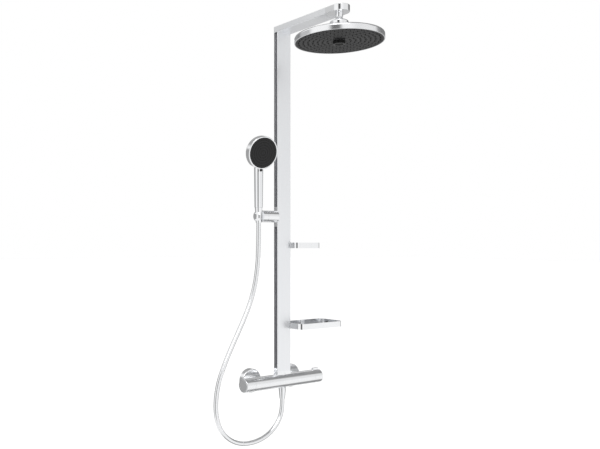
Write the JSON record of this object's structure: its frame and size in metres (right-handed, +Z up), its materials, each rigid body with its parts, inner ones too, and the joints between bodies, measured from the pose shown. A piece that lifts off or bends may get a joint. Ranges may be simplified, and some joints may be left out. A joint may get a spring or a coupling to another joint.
{
  "type": "rainfall shower column",
  "caption": "Wall-mounted thermostatic shower column with a flat profile, an overhead rain head on a ball joint, a hand shower in a sliding holder with its hose, and sliding trays.",
  "frame": {"origin": "on the wall plane, midway between the two water inlets, at the height of the valve bar's axis", "axes": "+X along the wall to the right, -Y out of the wall towards the user, +Z up"},
  "size_m": [0.4975, 0.454, 1.3298],
  "materials": {
    "chrome": "polished chrome plating",
    "satin_aluminium": "satin anodised aluminium",
    "brass": "machined brass",
    "steel": "plain stainless steel",
    "white_plastic": "moulded engineering plastic",
    "dark_face": "dark grey satin plastic",
    "black_rubber": "soft silicone",
    "black_plastic": "black plastic",
    "hose_metal": "silver sheathed flexible hose"
  },
  "bodies": {
    "wall_assembly": {"inlet_union_left": "brass", "inlet_union_right": "brass", "rosette_left": "chrome", "rosette_right": "chrome", "union_nuts": "chrome", "inlet_washers": "black_rubber", "valve_body": "chrome", "diverter_cartridge": "white_plastic", "thermostatic_cartridge": "brass", "temperature_ring": "chrome", "hose_outlet": "chrome", "base_adapter": "chrome", "column_profile": "satin_aluminium", "channel_plugs": "chrome", "riser_tube": "white_plastic", "corner_block": "brass", "arm_profile": "satin_aluminium", "arm_tube": "white_plastic", "arm_end_cap": "chrome", "head_outlet": "brass", "swivel_nut": "chrome", "bracket_plate": "satin_aluminium", "bracket_post": "satin_aluminium", "shower_hose": "hose_metal", "hose_nut_bottom": "chrome"},
    "slider": {"slider_carriage": "chrome", "slider_pads": "white_plastic", "holder_pin": "steel"},
    "holder": {"holder_socket": "chrome", "holder_liner": "white_plastic"},
    "hose_end": {"hose_nut_top": "chrome"},
    "hand_shower": {"handset_shell": "chrome", "handset_core": "white_plastic", "handset_face": "dark_face", "handset_nozzles": "black_rubber", "mode_spring": "steel"},
    "mode_key": {"mode_button": "black_plastic"},
    "flow_control": {"flow_handle": "chrome", "flow_handle_cap": "chrome", "diverter_stem": "steel"},
    "temperature_control": {"temperature_handle": "chrome", "temperature_cap": "chrome", "temperature_stem": "steel", "safety_spring": "steel"},
    "safety_key": {"safety_button": "chrome"},
    "ball": {"ball_stud": "chrome"},
    "rain_head": {"head_shell": "chrome", "head_boss": "chrome", "ball_seat": "white_plastic", "head_nut": "brass", "head_face": "dark_face", "head_nozzles": "black_rubber", "head_gasket": "black_rubber", "head_centre_piece": "black_plastic"},
    "lower_shelf": {"lower_tray": "chrome", "lower_tray_clamp": "satin_aluminium", "lower_tray_screw": "steel"},
    "upper_shelf": {"upper_tray": "chrome", "upper_tray_clamp": "satin_aluminium", "upper_tray_screw": "steel"}
  },
  "joints": [
    {"name": "slider_height", "type": "slide", "parent": "wall_assembly", "child": "slider", "axis": [0, 0, 1], "range_m": [-0.22, 0.17], "deforming": ["shower_hose"]},
    {"name": "holder_tilt", "type": "hinge", "parent": "slider", "child": "holder", "pos_m": [-0.0785, -0.066, 0.529], "axis": [1, 0, 0], "range_deg": [-10, 30]},
    {"name": "handset_lift", "type": "slide", "parent": "holder", "child": "hose_end", "axis": [0, 0, 1], "range_m": [0, 0.08]},
    {"name": "handset_turn", "type": "hinge", "parent": "hose_end", "child": "hand_shower", "pos_m": [-0.1, -0.066, 0.62], "axis": [0, 0, 1], "continuous": true},
    {"name": "mode_press", "type": "slide", "parent": "hand_shower", "child": "mode_key", "axis": [0.165, 0.9863, 0], "range_m": [0, 0.002], "stiffness_N_per_m": 500, "springref_m": -0.002, "deforming": ["mode_spring"]},
    {"name": "flow_turn", "type": "hinge", "parent": "wall_assembly", "child": "flow_control", "pos_m": [-0.145, -0.066, 0], "axis": [1, 0, 0], "range_deg": [-75, 75]},
    {"name": "temperature_turn", "type": "hinge", "parent": "wall_assembly", "child": "temperature_control", "pos_m": [0.145, -0.066, 0], "axis": [1, 0, 0], "range_deg": [-160, 50]},
    {"name": "safety_press", "type": "slide", "parent": "temperature_control", "child": "safety_key", "axis": [0, 0, -1], "range_m": [0, 0.003], "stiffness_N_per_m": 500, "springref_m": -0.002, "deforming": ["safety_spring"]},
    {"name": "head_spin", "type": "hinge", "parent": "wall_assembly", "child": "ball", "pos_m": [0, -0.31, 1.088], "axis": [0, 0, 1], "continuous": true},
    {"name": "head_tilt", "type": "hinge", "parent": "ball", "child": "rain_head", "pos_m": [0, -0.31, 1.088], "axis": [1, 0, 0], "range_deg": [-15, 15]},
    {"name": "lower_shelf_height", "type": "slide", "parent": "wall_assembly", "child": "lower_shelf", "axis": [0, 0, 1], "range_m": [-0.12, 0.14]},
    {"name": "upper_shelf_height", "type": "slide", "parent": "wall_assembly", "child": "upper_shelf", "axis": [0, 0, 1], "range_m": [-0.08, 0.5]}
  ]
}
